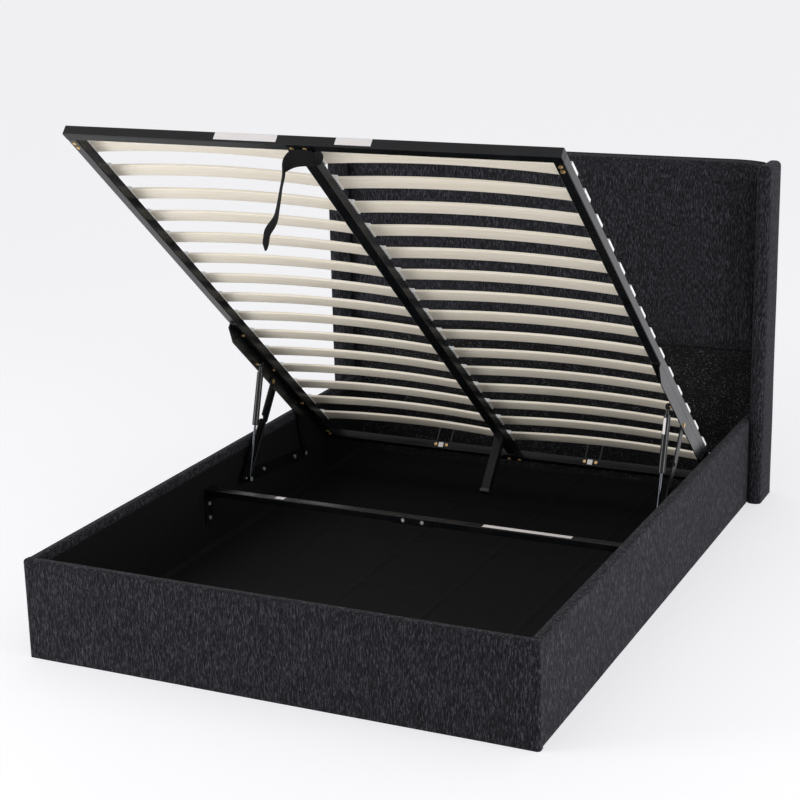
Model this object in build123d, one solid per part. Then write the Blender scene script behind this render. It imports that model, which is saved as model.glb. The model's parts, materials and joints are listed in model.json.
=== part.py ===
from build123d import *
import math
import os

# A double storage bed with a winged headboard, drawn with its slatted platform lifted open.
# The platform swings on a four-bar hinge and a gas strut at each side of the box.
# Lengths are in millimetres and angles in degrees.
# X runs to the right as seen from the foot, Y runs from the foot to the headboard, Z is up.
# The origin is on the floor under the middle of the outline.

# Platform frame: distances run along the platform from its foot end
platform_width = 1350.0
platform_length = 1878.0
platform_height = 194.5
tube_size = 27.0
tube_wall = 1.5
tube_corner = 2.5
beam_width = 32.0
joint_plate_length = 46.0
joint_plate_width = 62.0
plate_thickness = 3.0

# Box round the storage space
rail_height = 276.0
side_board = 23.0
foot_board = 25.0
lining = 3.0
lining_drop = 9.0
board_round = 8.0
footboard_overhang = 4.0
side_gap = 13.0
foot_gap = 4.5
head_gap = 36.0
cloth_thickness = 2.0

# Headboard and wings
headboard_height = 1076.0
headboard_core = 26.0
cushion_thickness = 59.2
cushion_crown = 5.0
cushion_top_round = 26.0
cushion_edge_round = 12.0
lower_panel_thickness = 40.6
seam_height = 482.0
wing_rise = 4.0
wing_thickness = 44.3
wing_depth = 146.2
wing_round = 13.0
soft_clearance = 0.3

# Slats and their holders
slat_count = 15
slat_width = 48.0
slat_thickness = 8.0
slat_crown = 13.0
slat_first = 104.0
slat_last_margin = 129.0
holder_wall = 1.6
holder_clearance = 0.3
outer_holder_length = 22.0
outer_holder_inset = 3.5
centre_holder_length = 19.0
centre_holder_start = 1.0

# Lift linkage: the front links' pins are placed from the head end, and the rest from those pins
link_pin_drop = 28.0
link_pin_margin = 499.0
rear_pin_behind = 237.0
strut_pin_ahead = 123.0
front_pivot_ahead = 327.0
front_pivot_height = 162.0
rear_pivot_height = 119.0
lift_angle = 40.88
front_link_angle = 53.31

# Lift bars under the side tubes
lift_bar_ahead = 340.0
lift_bar_behind = 266.0
lift_bar_drop = 40.0
lift_bar_nose = 14.0
lift_bar_taper = 50.0
lift_bar_tail_round = 16.0

# Links, from the web of the lift bar outward and inward
link_thickness = 4.0
link_gap = 0.5
front_link_width = 28.0
front_link_step = 6.0
front_eye_radius = 15.0
notch_clearance = 2.0
rear_link_width = 26.0
rear_link_offset = 3.0
pin_radius = 4.0
pin_clearance = 0.1
pin_head_radius = 7.5
pin_head_height = 2.0
open_pivot_gap = 0.3

# Hinge plates on the inside of the box
hinge_plate_width = 38.0
hinge_boss_radius = 8.0
hinge_bolt_shares = (0.34, 0.84)

# Gas struts
strut_offset = 17.0
strut_tube_radius = 10.0
strut_rod_radius = 4.0
strut_rod_clearance = 0.2
strut_eye_radius = 9.0
strut_eye_thickness = 9.0
strut_tube_start = 168.0
strut_neck_radius = 6.0
strut_neck_length = 14.0
strut_edge_chamfer = 1.5

# Crossbar across the storage space
crossbar_ahead = 199.5
crossbar_depth = 28.0
crossbar_height = 20.0
crossbar_gap = 3.5
crossbar_split = 0.5
crossbar_sleeve_length = 120.0
crossbar_sleeve_wall = 2.0
bracket_width = 46.0
bracket_bottom = 78.0
bracket_reach = 40.0
bracket_bolt_heights = (98.0, 143.0)

# Centre leg
leg_margin = 179.0
leg_foot_height = 10.0
leg_foot_lip = 2.0
leg_floor_gap = 0.6
leg_flange = 44.0

# Mattress retainers on the head rail
retainer_spread = 259.0
retainer_width = 47.0
retainer_height = 78.0
retainer_rod_radius = 4.0
retainer_bend = 14.0
retainer_bend_steps = 3
retainer_rod_sides = 12
retainer_screw_pitch = 38.0

# Pull strap tied round the centre beam
strap_distance = 59.0
strap_width = 23.0
strap_thickness = 2.5
strap_drop = 230.0
strap_lean = 62.0
knot_width = 46.0
knot_depth = 24.0
knot_height = 26.0
knot_round = 11.0
knot_offset = 24.0

# Fasteners
hexagon_sides = 6
bolt_head_radius = 6.0
bolt_head_height = 3.5
screw_head_radius = 5.8
screw_head_height = 2.0
screw_inset = 13.5
corner_screw_start = 43.0
screw_pitch = 20.0
lift_bolt_shares = (0.12, 0.51, 0.91)

overrun = 5.0

# Places across the bed
half_platform = platform_width / 2
inner_half = half_platform + side_gap
board_inner = inner_half + lining
outer_half = board_inner + side_board
beam_half = beam_width / 2

# Places along the bed, with the outline centred on the origin
bed_length = (foot_board + lining + foot_gap + platform_length + head_gap
              + lower_panel_thickness + headboard_core)
foot_front = -bed_length / 2
foot_board_back = foot_front + foot_board
foot_inner = foot_board_back + lining
closed_foot = foot_inner + foot_gap
panel_front = closed_foot + platform_length + head_gap
core_front = panel_front + lower_panel_thickness
bed_back = core_front + headboard_core
wing_front = bed_back - wing_depth
wing_height = headboard_height + wing_rise
crossbar_top = platform_height - crossbar_gap
crossbar_bottom = crossbar_top - crossbar_height

# Places along the platform
leg_distance = platform_length - leg_margin
link_pin_distance = platform_length - link_pin_margin
rear_pin_distance = link_pin_distance + rear_pin_behind
strut_pin_distance = link_pin_distance - strut_pin_ahead
front_pivot_distance = link_pin_distance - front_pivot_ahead
lift_bar_start = link_pin_distance - lift_bar_ahead
lift_bar_end = link_pin_distance + lift_bar_behind
crossbar_centre = closed_foot + front_pivot_distance - crossbar_ahead

# Layers across the linkage, counted outward from the middle of the bed
web_outer = half_platform
web_inner = web_outer - plate_thickness
front_link_outer = web_inner - link_gap
front_link_inner = front_link_outer - link_thickness
rear_link_inner = web_outer + rear_link_offset
rear_link_outer = rear_link_inner + link_thickness
hinge_plate_inner = inner_half - plate_thickness
strut_centre = web_inner - strut_offset
strut_eye_outer = strut_centre + strut_eye_thickness / 2
strut_eye_inner = strut_centre - strut_eye_thickness / 2


def turned(y, z, degrees):
    """Turn a point of the side view about the X axis."""
    angle = math.radians(degrees)
    return (y * math.cos(angle) - z * math.sin(angle), y * math.sin(angle) + z * math.cos(angle))


def direction(start, end):
    """Angle of the line from start to end in the side view, in degrees above +Y."""
    return math.degrees(math.atan2(end[1] - start[1], end[0] - start[0]))


# Closed linkage: the platform lies level at platform_height
pin_height = platform_height - link_pin_drop
front_pivot = (closed_foot + front_pivot_distance, front_pivot_height)
link_pin_closed = (closed_foot + link_pin_distance, pin_height)
rear_pin_closed = (closed_foot + rear_pin_distance, pin_height)
strut_pin_closed = (closed_foot + strut_pin_distance, pin_height)
front_link_length = math.dist(front_pivot, link_pin_closed)
front_link_closed_angle = direction(front_pivot, link_pin_closed)

# Open linkage: the front link stands at front_link_angle and carries the tilted platform
link_pin_turn = turned(front_link_length, 0, front_link_angle)
link_pin_open = (front_pivot[0] + link_pin_turn[0], front_pivot[1] + link_pin_turn[1])
link_pin_local = turned(link_pin_distance, -link_pin_drop, -lift_angle)
open_foot = (link_pin_open[0] - link_pin_local[0], link_pin_open[1] - link_pin_local[1])


def on_open_platform(distance, height):
    """Place in the side view of a point of the open platform."""
    local = turned(distance, height, -lift_angle)
    return (open_foot[0] + local[0], open_foot[1] + local[1])


rear_pin_open = on_open_platform(rear_pin_distance, -link_pin_drop)
strut_pin_open = on_open_platform(strut_pin_distance, -link_pin_drop)

# The rear pivot is as far from its pin when the bed is open as when it is closed
rear_pin_shift = (rear_pin_open[0] - rear_pin_closed[0], rear_pin_open[1] - rear_pin_closed[1])
rear_pin_middle = ((rear_pin_open[0] + rear_pin_closed[0]) / 2, (rear_pin_open[1] + rear_pin_closed[1]) / 2)
rear_rise = rear_pin_middle[1] - rear_pivot_height
rear_pivot = (rear_pin_middle[0] + rear_rise * rear_pin_shift[1] / rear_pin_shift[0], rear_pivot_height)
rear_link_length = math.dist(rear_pivot, rear_pin_closed)
rear_link_angle = direction(rear_pivot, rear_pin_open)
rear_link_closed_angle = direction(rear_pivot, rear_pin_closed)

strut_angle = direction(front_pivot, strut_pin_open)
strut_closed_angle = direction(front_pivot, strut_pin_closed)
strut_length = math.dist(front_pivot, strut_pin_open)
strut_closed_length = math.dist(front_pivot, strut_pin_closed)

# Frames that carry the pieces from their own level drawing to the open bed
platform_frame = Location((0, open_foot[0], open_foot[1]), (-lift_angle, 0, 0))
front_link_frame = Location((0, front_pivot[0], front_pivot[1]), (front_link_angle, 0, 0))
rear_link_frame = Location((0, rear_pivot[0], rear_pivot[1]), (rear_link_angle, 0, 0))
strut_frame = Location((0, front_pivot[0], front_pivot[1]), (strut_angle, 0, 0))


def block(x_range, y_range, z_range):
    """Box between two limits along each axis."""
    size = [limits[1] - limits[0] for limits in (x_range, y_range, z_range)]
    corner = (x_range[0], y_range[0], z_range[0])
    return Pos(*corner) * Box(*size, align=(Align.MIN, Align.MIN, Align.MIN))


def across_bar(inner, outer, radius, y=0, z=0):
    """Round bar along X between two places across the bed."""
    bar = Cylinder(radius, outer - inner, align=(Align.CENTER, Align.CENTER, Align.MIN))
    return Pos(inner, y, z) * Rot(0, 90, 0) * bar


def hexagon_head(radius, height):
    """Hexagon head of a bolt or screw, standing up from the origin."""
    return extrude(RegularPolygon(radius, hexagon_sides), height)


def hexagon_across(inner, outer, radius, y, z):
    """Hexagon head or nut along X between two places across the bed."""
    return Pos(inner, y, z) * Rot(0, 90, 0) * hexagon_head(radius, outer - inner)


def side_profile(face, inner, outer):
    """Plate cut from a side-view outline, between two places across the bed."""
    return Pos(inner, 0, 0) * extrude(Plane.YZ * face, outer - inner)


def mirrored(piece):
    """The same piece on the left side of the bed."""
    return mirror(piece, about=Plane.YZ)


def group(pieces):
    """Separate solids that share one file."""
    return Compound(children=list(pieces))


def save(name, piece):
    """Write one piece."""
    export_step(piece, f"parts/{name}.step")


def save_pair(name, right_piece):
    """Write a piece of the right side and its mirror image on the left."""
    save(f"{name}_right", right_piece)
    save(f"{name}_left", mirrored(right_piece))


def edges_near(shape, axis, place):
    """Edges whose middle lies at one place along an axis."""
    nearness = soft_clearance / 2
    return shape.edges().filter_by_position(axis, place - nearness, place + nearness)


def make_footboard():
    """Upholstered foot panel, a little wider than the box behind it."""
    half = outer_half + footboard_overhang
    panel = block((-half, half), (foot_front, foot_board_back), (0, rail_height))
    soft_edges = panel.edges() - edges_near(panel, Axis.Z, 0)
    return fillet(soft_edges, board_round)


def make_side_board():
    """Upholstered side panel of the box, with its top edges rounded."""
    panel = block((board_inner, outer_half), (foot_board_back, panel_front), (0, rail_height))
    return fillet(edges_near(panel, Axis.Z, rail_height).filter_by(Axis.Y), board_round)


def make_side_lining():
    """Black liner board on the inside of a side panel."""
    top = rail_height - lining_drop
    return block((inner_half, board_inner), (foot_board_back, panel_front), (cloth_thickness, top))


def make_foot_lining():
    """Black liner board on the inside of the foot panel."""
    top = rail_height - lining_drop
    return block((-inner_half, inner_half), (foot_board_back, foot_inner), (cloth_thickness, top))


def make_base_cloth():
    """Cloth on the floor of the storage space."""
    return block((-inner_half, inner_half), (foot_inner, panel_front), (0, cloth_thickness))


def make_headboard_core():
    """Board at the back of the headboard."""
    half = outer_half - soft_clearance
    board = block((-half, half), (core_front, bed_back), (0, headboard_height))
    return fillet(edges_near(board, Axis.Z, headboard_height).filter_by(Axis.X), board_round)


def make_cushion():
    """Padded upper part of the headboard, crowned towards the foot, above the seam."""
    half = outer_half - soft_clearance
    front = core_front - cushion_thickness
    outline = Curve() + [
        Line((-half, core_front), (half, core_front)),
        Line((half, core_front), (half, front + cushion_crown)),
        ThreePointArc((half, front + cushion_crown), (0, front), (-half, front + cushion_crown)),
        Line((-half, front + cushion_crown), (-half, core_front)),
    ]
    bottom = seam_height + soft_clearance
    pad = Pos(0, 0, bottom) * extrude(make_face(outline), headboard_height - bottom)
    pad = fillet(edges_near(pad, Axis.Z, headboard_height).sort_by(Axis.Y)[0], cushion_top_round)
    low_front = edges_near(pad, Axis.Z, bottom).sort_by(Axis.Y)[0]
    return fillet(low_front, cushion_edge_round)


def make_lower_panel():
    """Plain panel of the headboard below the seam."""
    half = outer_half - soft_clearance
    panel = block((-half, half), (panel_front, core_front), (0, seam_height))
    top_front = edges_near(panel, Axis.Z, seam_height).sort_by(Axis.Y)[0]
    return fillet(top_front, board_round)


def make_wing():
    """Upholstered wing beside the headboard, from the floor up."""
    wing = block((outer_half, outer_half + wing_thickness), (wing_front, bed_back), (0, wing_height))
    front_corners = edges_near(wing, Axis.Y, wing_front).filter_by(Axis.Z)
    wing = fillet(front_corners, wing_round)
    back_corners = edges_near(wing, Axis.Y, bed_back).filter_by(Axis.Z)
    wing = fillet(back_corners, board_round)
    return fillet(edges_near(wing, Axis.Z, wing_height), board_round)


def hollow_bar(width, height, length):
    """Rectangular tube along Y from the origin, with its underside at zero."""
    outer = RectangleRounded(width, height, tube_corner)
    inner = Rectangle(width - 2 * tube_wall, height - 2 * tube_wall)
    section = Pos(0, height / 2) * (outer - inner)
    return extrude(Plane.XZ * section, -length)


def make_side_tube():
    """Side tube of the platform, between the foot and head rails."""
    length = platform_length - 2 * tube_size
    bar = Pos(half_platform - tube_size / 2, tube_size, 0) * hollow_bar(tube_size, tube_size, length)
    return platform_frame * bar


def make_end_rail(distance):
    """Rail across one end of the platform, closed at its ends."""
    bar = Rot(0, 0, -90) * hollow_bar(tube_size, tube_size, platform_width)
    bar = Pos(-half_platform, distance + tube_size / 2, 0) * bar
    plug_size = tube_size - 2 * tube_wall
    plug_y = distance + tube_wall
    plugs = [
        block((x, x + tube_wall), (plug_y, plug_y + plug_size), (tube_wall, tube_wall + plug_size))
        for x in (-half_platform, half_platform - tube_wall)
    ]
    return platform_frame * (bar + plugs)


def make_beam():
    """Centre beam with the joint plates that tie it to the end rails."""
    length = platform_length - 2 * tube_size
    bar = Pos(0, tube_size, 0) * hollow_bar(beam_width, tube_size, length)
    half = joint_plate_width / 2
    foot_plate = block((-half, half), (tube_size - screw_pitch, joint_plate_length), (-plate_thickness, 0))
    head_start = platform_length - joint_plate_length
    head_end = platform_length - tube_size + screw_pitch
    head_plate = block((-half, half), (head_start, head_end), (-plate_thickness, 0))
    return platform_frame * (bar + foot_plate + head_plate)


def slat_place(index):
    """Distance of a slat's middle from the foot end."""
    pitch = (platform_length - slat_first - slat_last_margin) / (slat_count - 1)
    return slat_first + index * pitch


outer_holder_end = half_platform - outer_holder_inset
outer_holder_mouth = outer_holder_end - outer_holder_length
centre_holder_mouth = centre_holder_start + centre_holder_length
slat_bottom = tube_size + holder_wall + holder_clearance
slat_start = centre_holder_start + holder_wall + holder_clearance
slat_end = outer_holder_end - holder_wall - holder_clearance


def make_slat(index):
    """Bowed slat of the right half, with level ends that sit in the holders."""
    middle = (centre_holder_mouth + outer_holder_mouth) / 2
    top = slat_bottom + slat_thickness
    outline = Curve() + [
        Line((slat_start, slat_bottom), (centre_holder_mouth, slat_bottom)),
        ThreePointArc((centre_holder_mouth, slat_bottom), (middle, slat_bottom + slat_crown),
                      (outer_holder_mouth, slat_bottom)),
        Line((outer_holder_mouth, slat_bottom), (slat_end, slat_bottom)),
        Line((slat_end, slat_bottom), (slat_end, top)),
        Line((slat_end, top), (outer_holder_mouth, top)),
        ThreePointArc((outer_holder_mouth, top), (middle, top + slat_crown), (centre_holder_mouth, top)),
        Line((centre_holder_mouth, top), (slat_start, top)),
        Line((slat_start, top), (slat_start, slat_bottom)),
    ]
    strip = extrude(Plane.XZ * make_face(outline), -slat_width)
    return platform_frame * (Pos(0, slat_place(index) - slat_width / 2, 0) * strip)


def make_holder(index, inner, length, mouth_outward):
    """Plastic slat holder with a pocket open on one side."""
    half = slat_width / 2 + holder_wall + holder_clearance
    pocket_half = slat_width / 2 + holder_clearance
    height = slat_thickness + 2 * (holder_wall + holder_clearance)
    place = slat_place(index)
    body = block((inner, inner + length), (place - half, place + half), (tube_size, tube_size + height))
    pocket_start = inner + holder_wall if mouth_outward else inner - overrun
    pocket_end = inner + length + overrun if mouth_outward else inner + length - holder_wall
    pocket_low = slat_bottom - holder_clearance
    pocket_high = slat_bottom + slat_thickness + holder_clearance
    pocket = block((pocket_start, pocket_end), (place - pocket_half, place + pocket_half),
                   (pocket_low, pocket_high))
    return platform_frame * (body - pocket)


def make_outer_holders():
    """Row of slat holders on the right side tube."""
    start = outer_holder_mouth
    return group(make_holder(index, start, outer_holder_length, False) for index in range(slat_count))


def make_centre_holders():
    """Pairs of slat holders on the centre beam."""
    right = [make_holder(index, centre_holder_start, centre_holder_length, True)
             for index in range(slat_count)]
    return group(right + [mirrored(holder) for holder in right])


def make_lift_bar():
    """Steel angle under the side tube, with a tapered nose at its foot end."""
    start = lift_bar_start
    end = lift_bar_end
    tail = lift_bar_tail_round
    web_outline = Curve() + [
        Line((start, 0), (start, -lift_bar_nose)),
        Line((start, -lift_bar_nose), (start + lift_bar_taper, -lift_bar_drop)),
        Line((start + lift_bar_taper, -lift_bar_drop), (end - tail, -lift_bar_drop)),
        JernArc((end - tail, -lift_bar_drop), (1, 0), tail, 90),
        Line((end, tail - lift_bar_drop), (end, 0)),
        Line((end, 0), (start, 0)),
    ]
    web = side_profile(make_face(web_outline), web_inner, web_outer)
    web_flange = block((half_platform - tube_size, web_outer), (start, end), (-plate_thickness, 0))
    bar = web + web_flange
    hole = across_bar(web_inner - overrun, web_outer + overrun, pin_radius,
                      link_pin_distance, -link_pin_drop)
    return platform_frame * (bar - hole)


def make_link_pin():
    """Pivot bolt through the lift bar and the front link, with its head outside and a nut inside."""
    inner_head = front_link_inner - link_gap
    pin = across_bar(inner_head, web_outer, pin_radius, link_pin_distance, -link_pin_drop)
    nut = hexagon_across(inner_head - pin_head_height, inner_head, pin_head_radius,
                         link_pin_distance, -link_pin_drop)
    head = hexagon_across(web_outer, web_outer + pin_head_height, pin_head_radius,
                          link_pin_distance, -link_pin_drop)
    return platform_frame * (pin + nut + head)


def make_strut_stud():
    """Stud on the lift bar for the gas strut, ending just short of the strut's eye."""
    inner = strut_eye_outer + open_pivot_gap
    stud = across_bar(inner, web_inner, pin_radius, strut_pin_distance, -link_pin_drop)
    return platform_frame * stud


def make_front_link():
    """Front link with a notch that clears the strut's stud when the bed is closed."""
    length = front_link_length
    stud = turned(strut_pin_closed[0] - front_pivot[0], strut_pin_closed[1] - front_pivot[1],
                  -front_link_closed_angle)
    notch_radius = pin_radius + notch_clearance
    high = front_eye_radius
    low = high - front_link_width
    step_start = stud[0] - notch_radius - front_link_step
    step_end = stud[0] - notch_radius
    outline = Curve() + [
        Line((0, high), (step_start, high)),
        Line((step_start, high), (step_end, high - front_link_step)),
        Line((step_end, high - front_link_step), (length, high - front_link_step)),
        Line((length, high - front_link_step), (length, low - front_link_step)),
        Line((length, low - front_link_step), (step_end, low - front_link_step)),
        Line((step_end, low - front_link_step), (step_start, low)),
        Line((step_start, low), (0, low)),
        Line((0, low), (0, high)),
    ]
    arm = make_face(outline) + Circle(front_eye_radius) + Pos(length, 0) * Circle(front_eye_radius)
    notch = Pos(stud[0], stud[1]) * Circle(notch_radius)
    notch += Pos(stud[0], stud[1] + high / 2) * Rectangle(2 * notch_radius, high)
    holes = Circle(pin_radius + pin_clearance) + Pos(length, 0) * Circle(pin_radius + pin_clearance)
    return front_link_frame * side_profile(arm - notch - holes, front_link_inner, front_link_outer)


def make_rear_link():
    """Rear link, outside the lift bar, with a stub that ends against the bar's face."""
    strip = Pos(rear_link_length / 2, 0) * SlotCenterToCenter(rear_link_length, rear_link_width)
    hole = Circle(pin_radius + pin_clearance)
    arm = side_profile(strip - hole, rear_link_inner, rear_link_outer)
    stub = across_bar(web_outer + open_pivot_gap, rear_link_inner, pin_head_radius, rear_link_length, 0)
    return rear_link_frame * (arm + stub)


def hinge_plate_place(share):
    """Place on the line between the two fixed pivots."""
    return tuple(front_pivot[axis] + share * (rear_pivot[axis] - front_pivot[axis]) for axis in (0, 1))


def make_hinge_plate():
    """Plate on the side panel that holds both fixed pivots, with a spacer boss for the front one."""
    middle = hinge_plate_place(1 / 2)
    span = math.dist(front_pivot, rear_pivot)
    tilt = direction(front_pivot, rear_pivot)
    strip = Pos(*middle) * Rot(0, 0, tilt) * SlotCenterToCenter(span, hinge_plate_width)
    plate = side_profile(strip, hinge_plate_inner, inner_half)
    boss = across_bar(web_outer + link_gap, hinge_plate_inner, hinge_boss_radius, *front_pivot)
    rear_boss = across_bar(rear_link_outer + link_gap, hinge_plate_inner, hinge_boss_radius, *rear_pivot)
    return plate + boss + rear_boss


def make_fixed_pins():
    """Pivot pins of the right side, seated on the bosses of the hinge plate."""
    front_head = strut_eye_inner - link_gap
    front = across_bar(front_head, web_outer + link_gap, pin_radius, *front_pivot)
    front += hexagon_across(front_head - pin_head_height, front_head, pin_head_radius, *front_pivot)
    rear_head = rear_link_inner - link_gap
    rear = across_bar(rear_head, rear_link_outer + link_gap, pin_radius, *rear_pivot)
    rear += hexagon_across(rear_head - pin_head_height / 2, rear_head, pin_head_radius, *rear_pivot)
    return [front, rear]


def make_strut_rod():
    """Chromed rod of the gas strut with its lower eye."""
    eye = across_bar(strut_eye_inner, strut_eye_outer, strut_eye_radius)
    rod_end = strut_tube_start + strut_neck_length
    rod = Rot(-90, 0, 0) * Cylinder(strut_rod_radius, rod_end, align=(Align.CENTER, Align.CENTER, Align.MIN))
    piece = eye + Pos(strut_centre, 0, 0) * rod
    hole = across_bar(strut_eye_inner - overrun, strut_eye_outer + overrun, pin_radius + pin_clearance)
    return strut_frame * (piece - hole)


def make_strut_tube():
    """Cylinder of the gas strut with its upper eye, bored for the rod."""
    neck_start = strut_length - strut_eye_radius - strut_neck_length
    bore_radius = strut_rod_radius + strut_rod_clearance
    chamfer_radius = strut_tube_radius - strut_edge_chamfer
    bore_end = strut_tube_start + strut_length - strut_closed_length + strut_neck_length + strut_rod_clearance
    outline = Curve() + [
        Line((bore_radius, strut_tube_start), (chamfer_radius, strut_tube_start)),
        Line((chamfer_radius, strut_tube_start), (strut_tube_radius, strut_tube_start + strut_edge_chamfer)),
        Line((strut_tube_radius, strut_tube_start + strut_edge_chamfer),
             (strut_tube_radius, neck_start - strut_edge_chamfer)),
        Line((strut_tube_radius, neck_start - strut_edge_chamfer), (strut_neck_radius, neck_start)),
        Line((strut_neck_radius, neck_start), (strut_neck_radius, strut_length)),
        Line((strut_neck_radius, strut_length), (0, strut_length)),
        Line((0, strut_length), (0, bore_end)),
        Line((0, bore_end), (bore_radius, bore_end)),
        Line((bore_radius, bore_end), (bore_radius, strut_tube_start)),
    ]
    barrel = Pos(strut_centre, 0, 0) * revolve(make_face(outline), Axis.Y)
    side_cut = block((strut_eye_outer, strut_centre + strut_tube_radius + overrun),
                     (neck_start, strut_length + overrun), (-strut_tube_radius, strut_tube_radius))
    barrel -= side_cut
    eye = across_bar(strut_eye_inner, strut_eye_outer, strut_eye_radius, strut_length)
    nut = hexagon_across(strut_eye_inner - pin_head_height, strut_eye_inner, pin_head_radius, strut_length, 0)
    return strut_frame * (barrel + eye + nut)


def make_crossbar_half():
    """Right half of the tube across the storage space."""
    length = hinge_plate_inner - crossbar_split / 2
    bar = Rot(0, 0, -90) * hollow_bar(crossbar_depth, crossbar_height, length)
    return Pos(crossbar_split / 2, crossbar_centre, crossbar_bottom) * bar


def make_crossbar_sleeve():
    """Channel under the middle of the crossbar that joins its two halves."""
    half = crossbar_sleeve_length / 2
    wall = crossbar_sleeve_wall
    depth = crossbar_depth / 2
    outer = block((-half, half), (crossbar_centre - depth - wall, crossbar_centre + depth + wall),
                  (crossbar_bottom - wall, crossbar_top - tube_corner))
    bar = block((-half - overrun, half + overrun), (crossbar_centre - depth, crossbar_centre + depth),
                (crossbar_bottom, crossbar_top))
    return outer - bar


def make_crossbar_bracket():
    """Cradle on the side panel that holds the end of the crossbar."""
    depth = bracket_width / 2
    y_range = (crossbar_centre - depth, crossbar_centre + depth)
    thin = crossbar_sleeve_wall
    plate = block((hinge_plate_inner, inner_half), y_range, (bracket_bottom, crossbar_top + thin))
    reach = hinge_plate_inner - bracket_reach
    shelf = block((reach, hinge_plate_inner), y_range, (crossbar_bottom - thin, crossbar_bottom))
    lip = block((reach, hinge_plate_inner), y_range, (crossbar_top, crossbar_top + thin))
    return plate + shelf + lip


def bolt_head(inner, y, z):
    """Bolt head on a face that looks into the box, standing proud toward the middle."""
    return hexagon_across(inner - bolt_head_height, inner, bolt_head_radius, y, z)


def make_box_bolts():
    """Pivot pins and bolt heads on both sides of the box, and the two in the crossbar's sleeve."""
    right = make_fixed_pins()
    right += [bolt_head(hinge_plate_inner, *hinge_plate_place(share)) for share in hinge_bolt_shares]
    right += [bolt_head(hinge_plate_inner, crossbar_centre, height) for height in bracket_bolt_heights]
    front_face = crossbar_centre - crossbar_depth / 2 - crossbar_sleeve_wall
    sleeve_bolt = Rot(90, 0, 0) * hexagon_head(screw_head_radius, screw_head_height)
    middle = (crossbar_top + crossbar_bottom) / 2
    right.append(Pos(crossbar_sleeve_length / 4, front_face, middle) * sleeve_bolt)
    return group(right + [mirrored(piece) for piece in right])


def screw_under(x, distance, base):
    """Screw head on a face of the platform that looks down."""
    head = Pos(x, distance, base - screw_head_height) * hexagon_head(screw_head_radius, screw_head_height)
    return platform_frame * head


def make_platform_screws():
    """Screws, rivets and studs that the platform carries."""
    corner_x = half_platform - screw_inset
    right = [make_link_pin(), make_strut_stud()]
    for distance in (corner_screw_start, corner_screw_start + screw_pitch):
        right.append(screw_under(corner_x, distance, 0))
        right.append(screw_under(corner_x, platform_length - distance, 0))
    lift_span = lift_bar_end - lift_bar_start
    for share in lift_bolt_shares:
        right.append(screw_under(corner_x, lift_bar_start + share * lift_span, -plate_thickness))
    for distance in (screw_inset, platform_length - screw_inset):
        right.append(screw_under(joint_plate_width / 2 - screw_inset, distance, -plate_thickness))
    rail_face = platform_length - tube_size
    screw = Rot(90, 0, 0) * hexagon_head(screw_head_radius, screw_head_height)
    for side in (-1, 1):
        x = retainer_spread + side * retainer_screw_pitch / 2
        right.append(platform_frame * (Pos(x, rail_face, tube_size / 2) * screw))
    return group(right + [mirrored(piece) for piece in right])


def make_leg():
    """Square centre leg with a flange under the beam."""
    height = platform_height - cloth_thickness - leg_floor_gap - leg_foot_height
    flange_half = leg_flange / 2
    flange = block((-beam_half, beam_half), (leg_distance - flange_half, leg_distance + flange_half),
                   (-plate_thickness, 0))
    post = Rot(-90, 0, 0) * hollow_bar(tube_size, tube_size, height - plate_thickness)
    post = Pos(0, leg_distance - tube_size / 2, -plate_thickness) * post
    return platform_frame * (flange + post)


def make_leg_foot():
    """Plastic foot at the end of the centre leg."""
    half = tube_size / 2 + leg_foot_lip
    bottom = cloth_thickness + leg_floor_gap - platform_height
    cap = block((-half, half), (leg_distance - half, leg_distance + half), (bottom, bottom + leg_foot_height))
    cap = fillet(cap.edges().filter_by(Axis.Z), leg_foot_lip)
    return platform_frame * cap


def retainer_half_path():
    """Right half of the retainer's line, from its foot up and round the bend in short straight steps."""
    half = retainer_width / 2
    top = tube_size + retainer_height
    centre = (half - retainer_bend, top - retainer_bend)
    step = 90 / retainer_bend_steps
    bend = [turned(retainer_bend, 0, index * step) for index in range(retainer_bend_steps + 1)]
    return [(half, tube_size)] + [(centre[0] + x, centre[1] + z) for x, z in bend]


def make_retainer():
    """Bent rod on the head rail that stops the mattress from sliding."""
    right = retainer_half_path()
    left = [(-x, z) for x, z in reversed(right)]
    path = Plane.XZ * Polyline(*right, *left)
    section = Plane(path @ 0, z_dir=path % 0) * RegularPolygon(retainer_rod_radius, retainer_rod_sides)
    rod = sweep(section, path, transition=Transition.RIGHT)
    return platform_frame * (Pos(retainer_spread, platform_length - tube_size / 2, 0) * rod)


# Outline of the hanging tail, as shares of its lean, its width and its drop
strap_tail_shares = (
    (0.00, -0.35, 0.00), (0.10, -0.35, 0.22), (0.42, -0.30, 0.48), (0.72, -0.55, 0.66),
    (0.86, -0.50, 0.76), (1.00, -0.42, 0.86), (1.00, -0.30, 0.95), (0.95, 0.05, 1.00),
    (0.88, 0.30, 0.90), (0.60, 0.55, 0.82), (0.40, 0.62, 0.70), (0.24, 0.25, 0.52),
    (0.06, 0.15, 0.30), (0.00, 0.35, 0.00),
)


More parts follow.
